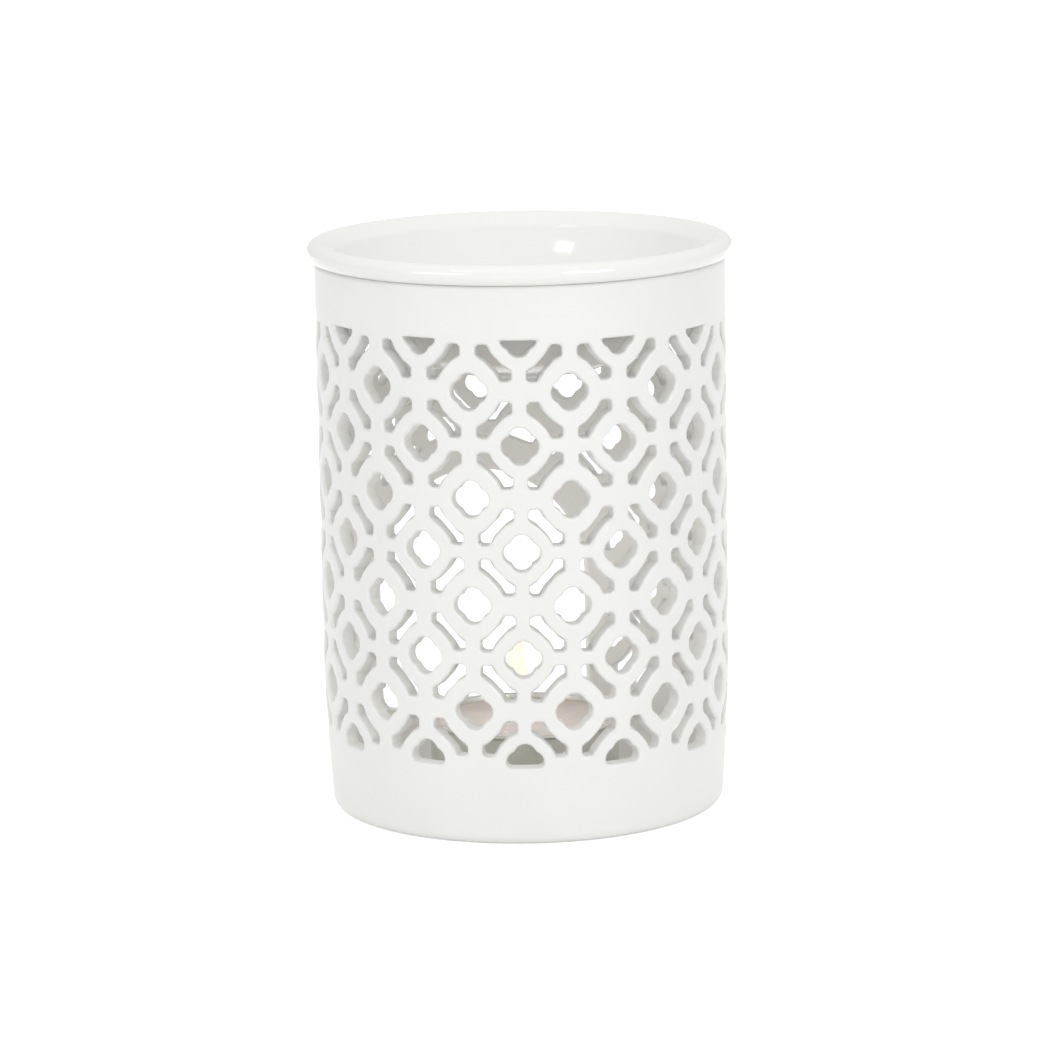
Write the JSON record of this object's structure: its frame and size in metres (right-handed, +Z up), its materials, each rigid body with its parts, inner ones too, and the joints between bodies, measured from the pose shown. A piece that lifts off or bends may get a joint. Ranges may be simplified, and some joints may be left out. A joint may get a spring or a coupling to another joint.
{
  "type": "essential oil burner",
  "caption": "Pierced ceramic oil burner with an arched rear opening for a lit tealight and a lift-out dish that warms scented oil or wax",
  "frame": {"origin": "on the ground under the middle of the body", "axes": "+Z up, +Y out of the arched opening that the tealight goes through, +X to the left of someone who looks into that opening"},
  "size_m": [0.0832, 0.0832, 0.1122],
  "materials": {
    "body_glaze": "satin white glaze",
    "dish_glaze": "gloss white glaze",
    "cup_foil": "bare pressed aluminium",
    "wax": "translucent paraffin wax",
    "sustainer_plate": "tinned steel",
    "wick_cotton": "charred cotton"
  },
  "bodies": {
    "body": {"burner_body": "body_glaze"},
    "dish": {"oil_dish": "dish_glaze"},
    "tealight": {"tealight_cup": "cup_foil", "tealight_wax": "wax", "wick_sustainer": "sustainer_plate", "wick": "wick_cotton"}
  },
  "joints": [
    {"name": "dish_lift", "type": "slide", "parent": "body", "child": "dish", "axis": [0, 0, 1], "range_m": [0, 0.06]},
    {"name": "tealight_out", "type": "slide", "parent": "body", "child": "tealight", "axis": [0, 0.891, 0.454], "range_m": [0, 0.07]}
  ]
}
